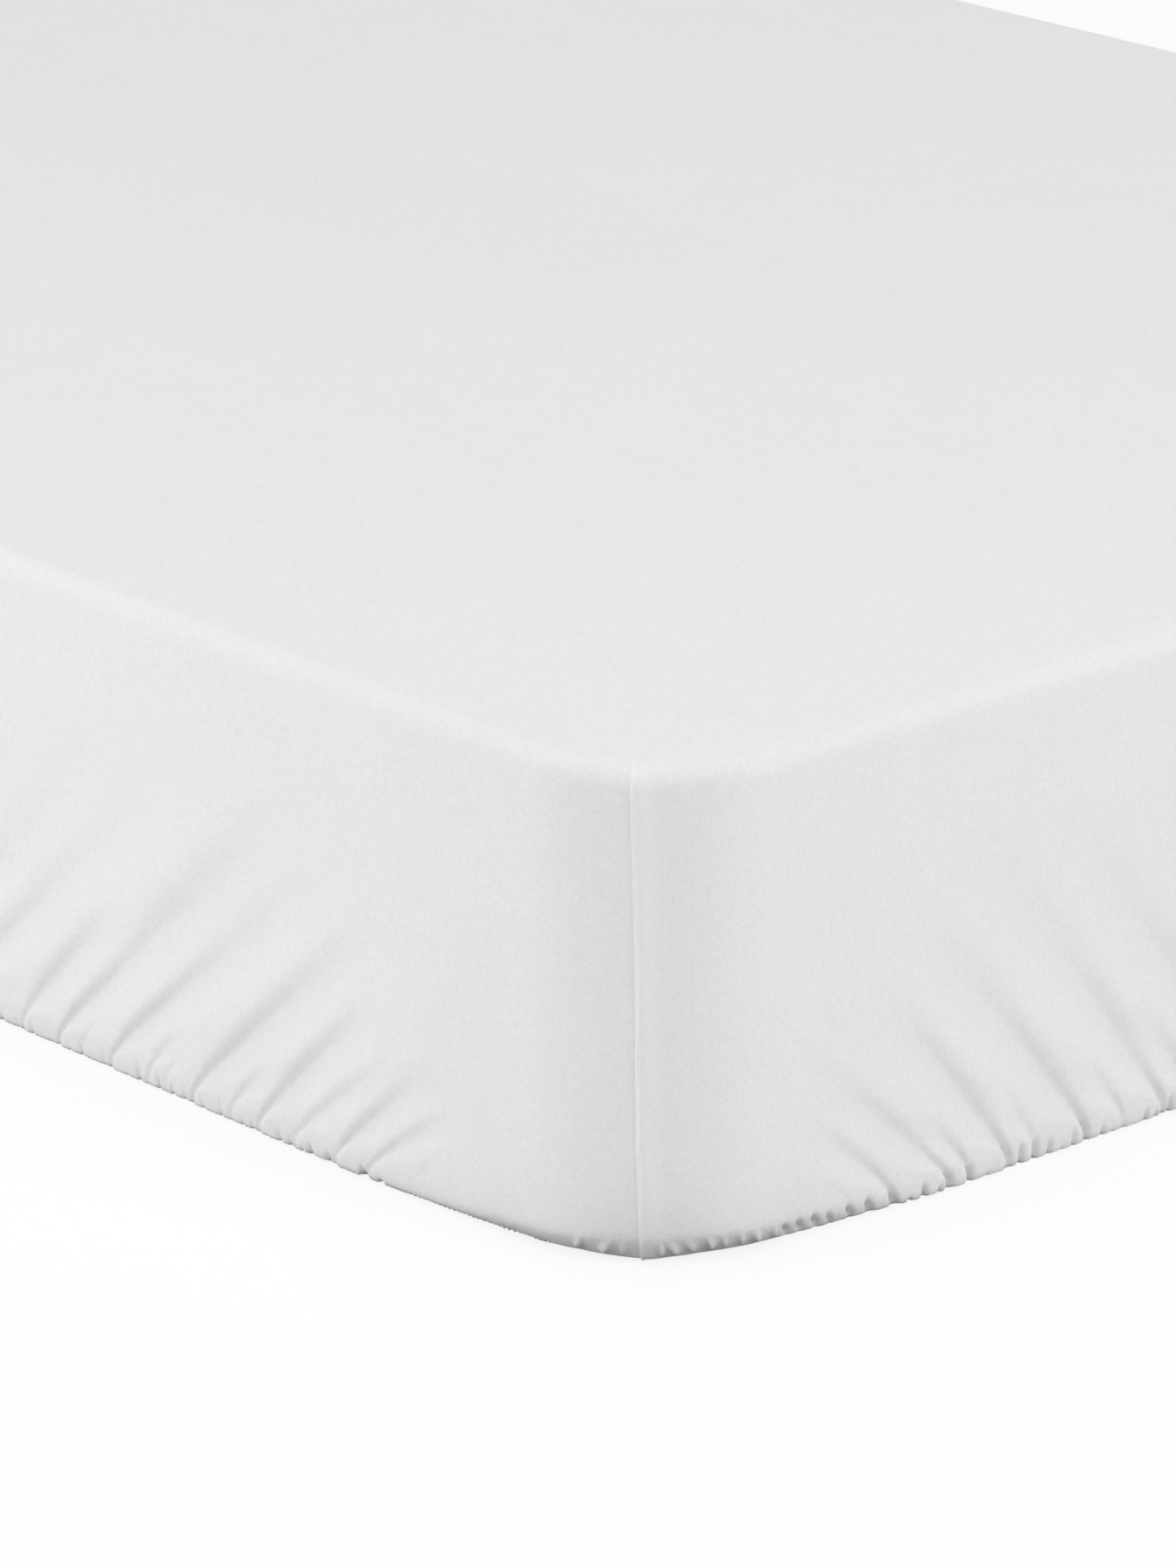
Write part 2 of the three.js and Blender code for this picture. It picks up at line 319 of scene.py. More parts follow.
def pillowed(along, height):
    """How far the hem band stands out, and the stitched line pulls in, at places on the cloth."""
    side, left = side_of(along)
    out = np.zeros(along.shape)
    for index, rows in enumerate(CREASES):
        here = side == index
        marks = np.sort([row[0] for row in rows if row[3] >= PILLOW_DEEP_ENOUGH])
        mirrored = left[here] > SIDES[index] / 2
        lean = PILLOW_LEAN * bend(height[here], BEND_FAR)
        place = left[here] + np.where(mirrored, -lean, lean)
        far = np.searchsorted(marks, place).clip(1, len(marks) - 1)
        low, high = marks[far - 1], marks[far]
        share = np.clip((place - low) / (high - low), 0, 1)
        share = np.where(mirrored, 1 - share, share)
        arc_rise = PILLOW_RISE * (PILLOW_RISE_LONG if index % 2 else 1)
        arc = PILLOW_FOOT + arc_rise * np.sqrt(np.sin(np.pi * share))
        standing = ease(share, 0.0, 0.25) * (0.45 + 0.55 * ease(share, 0.3, 0.85))
        standing = standing * (1 - ease(share, 0.9, 1.0))
        inside = (place > marks[0]) & (place < marks[-1])
        band = 1 - ease(height[here], arc - 1.3 * MM, arc + 0.7 * MM)
        band = band * ease(height[here], 0, 3 * MM)
        stitched = bump(height[here] - arc - STITCH_ABOVE, STITCH_WIDE)
        out[here] = inside * standing * (PILLOW_PROUD * band - STITCH_DEEP * stitched)
    return out


# %% [markdown]
# ## Pleats of the band
# The elastic shrinks the band, so it stands in small pleats four to seven millimetres apart, with a dark
# gap between each two. The gaps beside the close corner are listed one by one, the others at an uneven
# pitch by a seeded loop.

# %% Gaps between the pleats
SHORT_SIDE_GAPS = [
    # from the seam, depth, height, width: millimetres
    (45.0, 1.0, 5.4, 1.5), (50.0, 1.3, 5.5, 1.6), (55.5, 1.4, 5.8, 1.7), (60.5, 1.0, 5.4, 1.3),
    (67.8, 1.3, 5.6, 1.8), (74.5, 1.5, 5.8, 2.1), (83.0, 1.2, 5.5, 2.0), (88.5, 1.2, 3.4, 1.3),
    (93.0, 1.6, 5.0, 1.5), (98.0, 1.2, 4.0, 1.2), (101.0, 1.8, 5.5, 1.8), (109.0, 1.8, 5.5, 1.6),
    (116.0, 0.8, 3.2, 1.3), (123.5, 1.2, 6.0, 1.4), (129.0, 1.6, 6.5, 1.5), (134.5, 1.5, 6.8, 1.4),
    (140.0, 1.2, 5.6, 1.4), (145.0, 0.7, 3.2, 1.2), (149.5, 1.2, 5.6, 1.3), (154.5, 1.2, 6.0, 1.4),
    (161.5, 0.9, 4.2, 1.5), (165.5, 0.6, 3.2, 1.2), (170.5, 0.6, 3.0, 1.2), (178.5, 1.1, 4.6, 1.3),
    (183.0, 1.0, 4.0, 1.2), (188.5, 1.3, 5.5, 1.4),
]
LONG_SIDE_GAPS = [
    (95.0, 1.2, 3.6, 1.5), (101.5, 1.6, 4.2, 1.8), (109.0, 0.5, 2.8, 1.2), (116.0, 1.2, 4.2, 1.6),
    (123.5, 1.3, 4.4, 1.5), (127.0, 0.8, 3.4, 1.1), (132.5, 0.8, 3.6, 1.2), (137.0, 0.8, 4.6, 1.2),
    (143.0, 0.4, 3.2, 1.1), (149.0, 0.5, 4.4, 1.4), (153.5, 0.9, 3.0, 1.3), (163.0, 0.5, 5.6, 1.2),
    (171.0, 0.6, 4.2, 1.2), (179.5, 0.5, 4.4, 1.5), (185.0, 0.7, 5.0, 1.2), (191.0, 0.8, 5.6, 1.2),
    (200.0, 0.9, 6.2, 1.3), (205.5, 0.5, 3.4, 1.1), (216.5, 0.4, 5.2, 1.4), (227.0, 0.7, 4.8, 1.3),
    (232.5, 0.5, 3.6, 1.2), (241.5, 0.3, 5.2, 1.4), (250.0, 0.7, 4.8, 1.4), (257.5, 0.3, 5.6, 1.3),
    (265.0, 0.8, 4.6, 1.3),
]
# How much deeper, taller and wider the gaps of a table are made.
SHORT_SIDE_SCALE = (1.25, 1.3, 0.9)
LONG_SIDE_SCALE = (0.85, 1.3, 0.95)
GAPS_START = 70
ROOM_BEFORE_TABLE, ROOM_AT_END = 4, 7.5
GAP_SEED = 70
GAP_PITCH = (4.2, 7.6)
LEAST_GAP, MOST_GAP = (0.6, 3.2, 1.9), (1.6, 6.6, 2.7)
LONG_SIDE_DEPTH = 0.75


def scaled(table, scale):
    return [(place, *(value * by for value, by in zip(sizes, scale))) for place, *sizes in table]


def gaps_of(side):
    """Rows of place, depth, height and width for the gaps of one side, in metres."""
    chance = np.random.default_rng(GAP_SEED + side)
    length = SIDES[side] / MM
    rows, place, last = [], GAPS_START, length - GAPS_START
    if side == 0:
        rows += scaled(SHORT_SIDE_GAPS, SHORT_SIDE_SCALE)
        place = rows[-1][0]
    if side == 3:
        rows += [(length - hem, *sizes) for hem, *sizes in scaled(LONG_SIDE_GAPS, LONG_SIDE_SCALE)]
        last = min(row[0] for row in rows) - ROOM_BEFORE_TABLE
    strength = LONG_SIDE_DEPTH if side % 2 else 1.0
    while place < last - ROOM_AT_END:
        place += chance.uniform(*GAP_PITCH)
        depth, tall, width = chance.uniform(LEAST_GAP, MOST_GAP)
        rows.append((place, strength * depth, tall, width))
    return np.array(rows) * MM


GAPS = [gaps_of(side) for side in range(4)]
print("gaps on each side:", [len(rows) for rows in GAPS])

# %% How the gaps cut in
GAP_DEEPER = 1.5
GAP_NARROWER = 0.6
GAP_DEEPEST = 3.2 * MM
GAP_REACH = 4 * MM
GAP_FADE = np.array([0.55, 1.1])
GAP_UPRIGHT_LEAN = 0.1
GAP_CORNER_LEAN = 0.5
GAP_LEANS_WITHIN = (84 * MM, 104 * MM)
EDGE_KEEPS = 0.05
EDGE_ROLL_SHORT = (1.6 * MM, 4.0 * MM)
EDGE_ROLL_LONG = (0.8 * MM, 2.6 * MM)


def gapped(along, height):
    """How far the gaps between the pleats cut in. The elastic keeps the very edge straighter."""
    side, left = side_of(along)
    cut = np.zeros(along.shape)
    for index, rows in enumerate(GAPS):
        here = np.nonzero(side == index)[0]
        order = here[np.argsort(left[here])]
        places = left[order]
        edge = EDGE_ROLL_LONG if index % 2 else EDGE_ROLL_SHORT
        for place, depth, tall, width in rows:
            reach = 3 * width + GAP_REACH
            first, last = np.searchsorted(places, [place - reach, place + reach])
            near = order[first:last]
            from_corner = min(place, SIDES[index] - place)
            way = 1 if place < SIDES[index] / 2 else -1
            slant = GAP_UPRIGHT_LEAN + GAP_CORNER_LEAN * (1 - ease(from_corner, *GAP_LEANS_WITHIN))
            across = bump(left[near] + way * height[near] * slant - place, GAP_NARROWER * width)
            fade = 1 - ease(height[near], *(GAP_FADE * tall))
            roll = EDGE_KEEPS + (1 - EDGE_KEEPS) * ease(height[near], *edge)
            cut[near] += GAP_DEEPER * depth * across * fade * roll
    return np.minimum(cut, GAP_DEEPEST)


# %% [markdown]
# ## The corner, where the hem turns under
# Round a corner the elastic pulls the hem in under the mattress, so the band faces down and lies in shade.
# A few stiff ribs of gathered cloth cross it, and on the long side it thins out into a fine crimp.

# %% Ribs of the corner
CORNER_RIBS = [
    # distance from the seam at the edge, height above the band, width, lean going up: millimetres
    (-20.5, 1.3, 0.8, 3.0), (-14.0, 1.6, 0.9, 5.5), (-7.0, 0.7, 0.7, 2.0), (5.3, 0.9, 0.7, 2.0),
    (11.0, 1.5, 0.8, 6.5), (15.5, 1.2, 0.8, 6.0), (20.5, 1.3, 0.8, 4.5), (24.0, 1.0, 0.7, 3.5),
    (29.5, 1.0, 0.8, 4.0), (36.0, 1.6, 1.0, 7.0), (40.5, 1.1, 0.8, 4.0),
]
BAND = 9 * MM
RIB_PROUD = 2.3
RIB_STARTS = (2.2 * MM, 5.0 * MM)
RIB_FADES = (1 * MM, 8.5 * MM)
CRIMP_PROUD = 0.36 * MM
CRIMP_FINE = 0.30 * MM
CRIMP_BROAD = 1.9 * MM
CRIMP_TOP = (2.5 * MM, 4.5 * MM)
CRIMP_STARTS = (22 * MM, 34 * MM)
CRIMP_ENDS = (290 * MM, 320 * MM)


def ribbed(seam_distance, height):
    """Ribs that stand out of the band near a corner, and the crimp of the long sides' edge."""
    out = np.zeros(seam_distance.shape)
    band = RIB_PROUD * (1 - ease(height, *RIB_FADES)) * ease(height, *RIB_STARTS)
    for place, tall, width, lean in CORNER_RIBS:
        leaned = place - np.sign(place) * lean * np.clip(height, 0, BAND) / BAND
        out += tall * MM * bump(seam_distance - leaned * MM, width * MM)
    crimp = np.sin(seam_distance / CRIMP_FINE) * (0.6 + 0.4 * np.sin(seam_distance / CRIMP_BROAD))
    crimped = ease(-seam_distance, *CRIMP_STARTS) * (1 - ease(-seam_distance, *CRIMP_ENDS))
    low = 1 - ease(height, *CRIMP_TOP)
    return band * out + low * CRIMP_PROUD * crimp * crimped


# %% [markdown]
# ## The corner seam
# The dart that shapes the corner is sewn inside out. Its allowance is pressed to one side, so the cloth
# shows a sharp lip at the seam, and beside it a faintly raised strip of doubled cloth about 5 mm wide.

# %% Seam relief
SEAM_HEIGHTS = np.array([0, 18, 35, 75, 95, 115, 142]) * MM
SEAM_WANDER = np.array([-0.9, -1.4, -2.0, -2.3, -2.5, -3.1, -3.9]) * MM
ALLOWANCE = 5.2 * MM
ALLOWANCE_EDGE = 0.25 * MM
ALLOWANCE_FADE = 2.6 * MM
ALLOWANCE_PROUD = 0.22 * MM
LIP_PROUD = 0.45 * MM
LIP_WIDE = 0.34 * MM
LIP_PAST = 0.1 * MM
SEAM_ENDS = (TOP - 7 * MM, TOP - 1 * MM)
# Whiter colour: a shade of its own on the doubled allowance, and a painted highlight on the seam's folded
# edge.
DOUBLE_WHITER, LIP_PAINTED_HIGHLIGHT = 0.30, 0.70


def seam_line(height):
    """How far the seam lies from the corner's middle: a sewn seam wanders a little on its way up."""
    return np.interp(height, SEAM_HEIGHTS, SEAM_WANDER)


def doubled(seam_distance, height):
    """1 on the strip where the allowance lies under the cloth, 0 off it."""
    past = seam_distance - seam_line(height)
    fade = 1 - ease(past, ALLOWANCE - ALLOWANCE_FADE, ALLOWANCE + ALLOWANCE_FADE)
    return ease(past, -ALLOWANCE_EDGE, ALLOWANCE_EDGE) * fade


def seam_lip(seam_distance, height):
    """1 on the folded edge of the seam, 0 off it."""
    return bump(seam_distance - seam_line(height) - LIP_PAST, LIP_WIDE)


def seamed(seam_distance, height):
    """How far the lip and the doubled strip stand out. Both end where the cloth turns on to the top."""
    lip = LIP_PROUD * seam_lip(seam_distance, height)
    fade = 1 - ease(height, *SEAM_ENDS)
    return fade * (lip + ALLOWANCE_PROUD * doubled(seam_distance, height))


def doubled_and_lip_highlight(seam_distance, height):
    """Whiter colour: a shade on the doubled allowance, and a painted highlight on the seam's folded edge."""
    return DOUBLE_WHITER * doubled(seam_distance, height) + LIP_PAINTED_HIGHLIGHT * seam_lip(seam_distance, height)


# %% [markdown]
# ## All the relief together
# The swell is kept or cut by the creases, and the finer things are added. Very broad, very low waves keep
# the stretched cloth from looking machined.

# %% Relief
WAVE_PROUD = 0.16 * MM
WAVE_CLIMB = 20 * MM


def broad_waves(along, height):
    turn = along * 2 * math.pi / GIRTH
    wave = np.sin(23 * turn + 1.1 + 9 * height) + 0.6 * np.sin(41 * turn + 2.3 - 14 * height)
    return WAVE_PROUD * wave * ease(height, 0, WAVE_CLIMB)


def relief(along, height):
    """How far the outer face stands off the plain wall."""
    seam_distance = from_seam(along)
    return (
        swell_at(seam_distance, height) * creased(along, height)
        + broad_waves(along, height)
        + pillowed(along, height)
        - gapped(along, height)
        + ribbed(seam_distance, height)
        + seamed(seam_distance, height)
    )


# %% [markdown]
# ## How the hem curls under
# Below 14 mm the cloth no longer hangs straight down. Going down, it first tilts inwards where the elastic
# draws it under, then turns right round the elastic and ends a little way up inside. How steep the tilt is
# and where it starts changes along the hem, and adding up the tilts gives the curve itself.

# %% Hem profile
HEM_START = 14 * MM
HEM_DRAW = np.array([
    # from the seam in mm, tilt in degrees, height at which it starts in mm
    (-130, 42, 3.0), (-100, 40, 3.8), (-80, 37, 4.5), (-60, 37, 5.0), (-45, 38, 5.8),
    (-30, 39, 6.8), (-20, 40, 7.5), (-8, 31, 8.2), (0, 24, 8.2), (8, 33, 8.4),
    (16, 40, 8.6), (26, 39, 8.4), (36, 36, 7.8), (48, 31, 7.3), (62, 28, 6.9),
    (74, 26, 6.2), (84, 24, 5.2), (100, 31, 3.8), (120, 40, 3.3),
])
LOWEST = 0.7 * MM
ROLL_HALF = 2.1 * MM
ROLL_TIGHTER = 0.8
TILT_EASE = 1.3 * MM
INSIDE_RUN = 3.2 * MM
INSIDE_SHOWN = 0.95
PROFILE_STEPS = 240
ABOVE_ROLL = 11
ROUND_ROLL = 9


def hem_profile(seam_distance):
    """Run of cloth, offset inwards, height and tilt of the hem's courses, one row to a column of cloth."""
    tilt = np.radians(np.interp(seam_distance / MM, HEM_DRAW[:, 0], HEM_DRAW[:, 1]))[:, None]
    start = HEM_START - np.interp(seam_distance / MM, HEM_DRAW[:, 0], HEM_DRAW[:, 2])[:, None] * MM
    roll_radius = 2 * ROLL_HALF / math.pi * ROLL_TIGHTER
    roll = start + (HEM_START - LOWEST - roll_radius - start) / np.cos(tilt)
    steps = np.linspace(0, 1, PROFILE_STEPS)[None, :]
    fine = steps * (roll + ROLL_HALF + INSIDE_RUN)
    turn = tilt * ease(fine, start - TILT_EASE, start + TILT_EASE)
    turn = turn + (math.pi - tilt) * ease(fine, roll - ROLL_HALF, roll + ROLL_HALF)
    step = np.diff(fine, axis=1, prepend=0)
    inward = np.cumsum(np.sin(turn) * step, axis=1)
    fallen = np.cumsum(np.cos(turn) * step, axis=1)
    settle = (HEM_START - LOWEST) / fallen.max(axis=1, keepdims=True)
    height = HEM_START - fallen * settle
    above = np.linspace(0, 1, ABOVE_ROLL + 1)[None, :-1] * (roll - ROLL_HALF)
    across = roll - ROLL_HALF + np.linspace(0, 1, ROUND_ROLL)[None, :] * 2 * ROLL_HALF
    courses = np.concatenate([above, across, across[:, -1:] + INSIDE_RUN * INSIDE_SHOWN], axis=1)
    last = PROFILE_STEPS - 1
    pick = (courses / fine[:, -1:] * last).round().astype(int).clip(0, last)
    return (
        courses,
        np.take_along_axis(inward, pick, 1),
        np.take_along_axis(height, pick, 1),
        np.take_along_axis(turn, pick, 1),
    )


HEM_COURSE_COUNT = ABOVE_ROLL + ROUND_ROLL + 1

# %% [markdown]
# ## Lines and courses of the mesh
# The mesh has upright lines round the mattress and level courses up the cloth. The hem needs lines well
# under a millimetre apart where the folds are seen closely, but the plain wall above it doesn't, so most
# lines stop on the way up. The lines beside a seam all go on to the top, because the seam is narrow.

# %% Upright lines
CLOSE_CORNER = 0
CLOSE_STEP = 0.65 * MM
FAR_STEP = 3.0 * MM
SEAM_STEP = 0.3 * MM
FAR_SEAM_STEP = 0.8 * MM
SEAM_REACH = (-5.5 * MM, 8.5 * MM)
CLOSE_REACH = 290 * MM


def upright_lines():
    """
    Distances round the mattress, and for each the level that its line reaches: 0 the hem alone, 1 the
    lower wall, 2 the whole wall and the top edge, 3 the top as well.
    """
    along, keep = [], []
    place = 0.0
    count = 0
    while place < GIRTH - SEAM_STEP:
        seam_distance = float(from_seam(place))
        close = int(nearest_corner(place)) == CLOSE_CORNER
        beside_seam = SEAM_REACH[0] <= seam_distance <= SEAM_REACH[1]
        step = FAR_STEP
        if close and abs(seam_distance) < CLOSE_REACH:
            step = CLOSE_STEP
        if beside_seam:
            step = SEAM_STEP if close else FAR_SEAM_STEP
        along.append(place)
        coarser = 0 if step == CLOSE_STEP else 1
        level = coarser + (2 if count % 4 == 0 else 1 if count % 2 == 0 else 0)
        keep.append(3 if beside_seam or count % 8 == 0 else level)
        place += step
        count += 1
    return np.array(along), np.array(keep)


LINES, LINE_KEEP = upright_lines()
print("upright lines:", len(LINES), "at the top edge:", int((LINE_KEEP >= 2).sum()))

# %% [markdown]
# ## Lines that lean with the creases
# A sharp crease is only drawn well by a mesh whose lines run along it. So the lines lean towards the
# nearer corner as the creases do, at most until they come close to it, and stand straight in the middle of
# a side and above the creases.

# %% Lean of the lines
LEAN_HEIGHTS = np.array([0, 4, 8, 14, 22, 40, 60, 80, 100]) * MM
LEAN_BY_THEN = np.array([0, 1.2, 3.6, 8.6, 16, 33, 51, 60, 63]) * MM
LEAN_OF_SIDE = np.array([0.8, 1.0, 0.8, 1.0])
LEAN_TURNS = (0.36, 0.64)
LEAN_ROOM = 0.6
LEAN_FREE = 14 * MM


def leaned(lines, height):
    """How far round a line has come at a height."""
    side, left = side_of(lines)
    length = SIDES[side]
    most = np.interp(height, LEAN_HEIGHTS, LEAN_BY_THEN) * LEAN_OF_SIDE[side]
    toward_start = 1 - 2 * ease(left / length, *LEAN_TURNS)
    to_corner = np.where(toward_start > 0, left, length - left)
    room = LEAN_ROOM * np.maximum(to_corner - LEAN_FREE, 0)
    return lines - np.sign(toward_start) * np.minimum(most * np.abs(toward_start), room)


# %% [markdown]
# ## Weaving courses into a mesh
# A course is a ring of points. Two neighbouring courses with the same lines are joined by quads, and where
# lines stop, a walk round both rings joins them by triangles. The class keeps the points, the faces and
# for each point its place on the flat cloth, which the knit pattern needs later.

# %% Mesh by courses
class CourseMesh:
    def __init__(self):
        self.points, self.cloth, self.double, self.faces = [], [], [], []
        self.count = 0

    def course(self, lines, along, x, y, z, cloth_v, double=None):
        """Adds a ring and returns it as its lines and the numbers of its points."""
        self.points.append(np.stack([x, y, z], 1))
        self.cloth.append(np.stack([along, np.broadcast_to(cloth_v, lines.shape)], 1))
        self.double.append(np.zeros(len(lines)) if double is None else double)
        first = self.count
        self.count += len(lines)
        return lines, np.arange(first, self.count)

    def join(self, lower, upper, flip=False):
        """Faces between two rings. With `flip` they face the other way."""
        lines_a, a = lower
        lines_b, b = upper
        if len(a) == len(b):
            quads = np.stack([a, np.roll(a, -1), np.roll(b, -1), b], 1)
            self.faces += (quads[:, ::-1] if flip else quads).tolist()
            return
        i = j = 0
        while i < len(a) or j < len(b):
            next_a = lines_a[i + 1] if i + 1 < len(a) else GIRTH
            next_b = lines_b[j + 1] if j + 1 < len(b) else GIRTH
            corner_a, corner_b = a[i % len(a)], b[j % len(b)]
            if i < len(a) and (next_a <= next_b or j >= len(b)):
                i += 1
                face = [corner_a, a[i % len(a)], corner_b]
            else:
                j += 1
                face = [corner_a, b[j % len(b)], corner_b]
            self.faces.append(face[::-1] if flip else face)

    def close(self, ring, flip=False):
        """One flat face over a ring."""
        self.faces.append(list(ring[1][::-1] if flip else ring[1]))

    def build(self, name):
        mesh = bpy.data.meshes.new(name)
        points = np.concatenate(self.points)
        mesh.from_pydata(points.tolist(), [], self.faces)
        mesh.polygons.foreach_set("use_smooth", [True] * len(mesh.polygons))
        cloth = np.concatenate(self.cloth)
        flat = np.zeros((len(cloth), 3), np.float32)
        flat[:, :2] = cloth
        mesh.attributes.new("cloth_place", "FLOAT_VECTOR", "POINT").data.foreach_set("vector", flat.ravel())
        # Each point's whiter colour: the doubled allowance, and the painted highlight on the seam's folded
        # edge.
        double = np.concatenate(self.double).astype(np.float32)
        mesh.attributes.new("double_cloth", "FLOAT", "POINT").data.foreach_set("value", double)
        mesh.validate()
        mesh.update()
        piece = bpy.data.objects.new(name, mesh)
        bpy.context.scene.collection.objects.link(piece)
        triangles = sum(len(p.vertices) - 2 for p in mesh.polygons)
        print(f"{name}: {len(mesh.vertices)} points, {triangles} triangles")
        return piece


# %% [markdown]
# ## The outer face of the cloth
# The courses run from the end of the turned-in hem, round its lower edge, up the wall, over the rounded
# upper edge and in across the top. Each point is pushed out along the cloth's own direction by the relief.

# %% Outer face
WALL_COURSES = [
    # from height, to height, courses, lines kept from this level on: millimetres
    (14, 46, 13, 1),
    (46, 135, 18, 2),
]
EDGE_COURSES = 8
TOP_INSETS = np.array([4, 12, 26, 48, 80, 125, 180, 240, 300]) * MM
TURNED_IN = (math.radians(80), math.radians(150))
LEAST_HEIGHT = 0.1 * MM


def wall_heights():
    """Each course above the hem, and the level that a line must reach to be in it."""
    rows = []
    for low, high, count, keep in WALL_COURSES:
        for height in np.linspace(low, high, count + 1)[1:]:
            rows.append((height * MM, keep))
    return rows


def outer_courses(mesh):
    rings = []
    courses, inward, height, tilt = hem_profile(from_seam(LINES))
    for course in reversed(range(HEM_COURSE_COUNT)):
        run = HEM_START - courses[:, course]
        along = leaned(LINES, np.maximum(run, 0))
        shown = 1 - ease(tilt[:, course], *TURNED_IN)
        push = relief(along, run) * shown
        out = FACE_OUT - inward[:, course] + push * np.cos(tilt[:, course])
        z = np.maximum(height[:, course] - push * np.sin(tilt[:, course]), LEAST_HEIGHT)
        x, y = walk(along, out)
        rings.append(mesh.course(LINES, along, x, y, z, run, doubled_and_lip_highlight(from_seam(along), run)))
    for height, keep in wall_heights():
        lines = LINES[LINE_KEEP >= keep]
        level = np.full(len(lines), height)
        along = leaned(lines, level)
        x, y = walk(along, FACE_OUT + relief(along, level))
        rings.append(mesh.course(lines, along, x, y, level, height, doubled_and_lip_highlight(from_seam(along), level)))
    lines = LINES[LINE_KEEP >= 2]
    along = leaned(lines, TOP)
    for step in range(1, EDGE_COURSES + 1):
        turn = step / EDGE_COURSES * math.pi / 2
        run = EDGE_FOOT + EDGE_ROUND * math.sin(turn)
        push = relief(along, np.full(len(lines), run)) * math.cos(turn)
        out = FACE_OUT - EDGE_ROUND + (EDGE_ROUND + push) * math.cos(turn)
        x, y = walk(along, out)
        z = np.full(len(lines), run) + push * math.sin(turn)
        double = doubled_and_lip_highlight(from_seam(along), z) * math.cos(turn)
        rings.append(mesh.course(lines, along, x, y, z, EDGE_FOOT + EDGE_ROUND * turn, double))
    return rings


# %% [markdown]
# ## The top
# The top is pulled smooth by the elastic on all four sides. The mesh goes on inwards as rings with fewer
# and fewer lines, and dips by a fraction of a millimetre between the edges as stretched cloth does.

# %% Top face
TOP_DIP = 0.25 * MM
TOP_DIP_REACH = 90 * MM


def top_height(x, y):
    """The stretched top: level, with waves too low to see except as a change of tone."""
    edge = np.minimum(HALF_LONG - np.abs(x), HALF_SHORT - np.abs(y))
    wave = np.sin(9.1 * x + 3.0 * y + 0.4) * np.sin(7.3 * y - 2.0 * x + 1.0)
    return TOP - TOP_DIP * (1 + wave) * ease(edge, 0, TOP_DIP_REACH)


def top_courses(mesh, rings):
    base = FACE_OUT - EDGE_ROUND
    for index, inset in enumerate(TOP_INSETS):
        level = 3 if index else 2
        lines = LINES[LINE_KEEP >= level]
        if index >= 3:
            lines = lines[:: 2 ** min(index - 2, 3)]
        along = leaned(lines, TOP)
        ring_x, ring_y = walk(along, np.full(len(lines), base))
        shrink_x = (HALF_LONG + base - inset) / (HALF_LONG + base)
        shrink_y = (HALF_SHORT + base - inset) / (HALF_SHORT + base)
        x, y = ring_x * shrink_x, ring_y * shrink_y
        rings.append(mesh.course(lines, along, x, y, top_height(x, y), TOP + inset))
    return rings


# %% [markdown]
# ## The inner face
# Inside, the cloth lies plainly against the foam, one and a half millimetres behind its outer face. It
# shows only when the mattress is seen from below, so it has few lines.

# %% Inner face
INNER_EVERY = 8
INNER_TUCK = 5.6 * MM
INNER_COURSES = [
    # height and how much further in, in millimetres, and 1 where it is tucked in with the hem
    (8, 1.2, 1),
    (14, 0, 0),
    (22, 0, 0),
    (60, 0, 0),
    (EDGE_FOOT / MM, 0, 0),
]


def inner_courses(mesh):
    rings = []
    lines = LINES[::INNER_EVERY]
    tuck = np.interp(from_seam(lines) / MM, HEM_DRAW[:, 0], HEM_DRAW[:, 1]) / HEM_DRAW[:, 1].max()
    for height, further_in, tucked in INNER_COURSES:
        out = FACE_OUT - CLOTH_THICK - further_in * MM - INNER_TUCK * tuck * tucked
        x, y = walk(lines, out)
        rings.append(mesh.course(lines, lines, x, y, np.full(len(lines), height * MM), height * MM))
    for turn in (30, 60, 90):
        angle = math.radians(turn)
        radius = EDGE_ROUND - CLOTH_THICK
        out = FACE_OUT - EDGE_ROUND + radius * math.cos(angle)
        x, y = walk(lines, np.full(len(lines), out))
        z = EDGE_FOOT + radius * math.sin(angle)
        rings.append(mesh.course(lines, lines, x, y, np.full(len(lines), z), z))
    return rings


cloth_mesh = CourseMesh()
outer = top_courses(cloth_mesh, outer_courses(cloth_mesh))
inner = inner_courses(cloth_mesh)
for lower, upper in zip(outer, outer[1:]):
    cloth_mesh.join(lower, upper)
for lower, upper in zip(inner, inner[1:]):
    cloth_mesh.join(lower, upper, flip=True)
cloth_mesh.join(inner[0], outer[0])
cloth_mesh.close(outer[-1])
cloth_mesh.close(inner[-1], flip=True)
protector = cloth_mesh.build("protector_cloth")

# %% [markdown]
# ## The foam mattress
# The mattress inside is a plain slab of foam in its own ticking. Only its underside can be seen, inside the
# gathered hem. It is built as courses too, with a soft round lower edge for the hem to be drawn under.

# %% Foam
FOAM_CORNER_MORE = 1.6 * MM
FOAM_CORNER_REACH = 25 * MM
FOAM_UNDERSIDE = [(-60 * MM, 0), (-34 * MM, 0)]
FOAM_LOWER_ROUND = 22 * MM
FOAM_UPPER_ROUND = 10 * MM
FOAM_STEP = 12 * MM


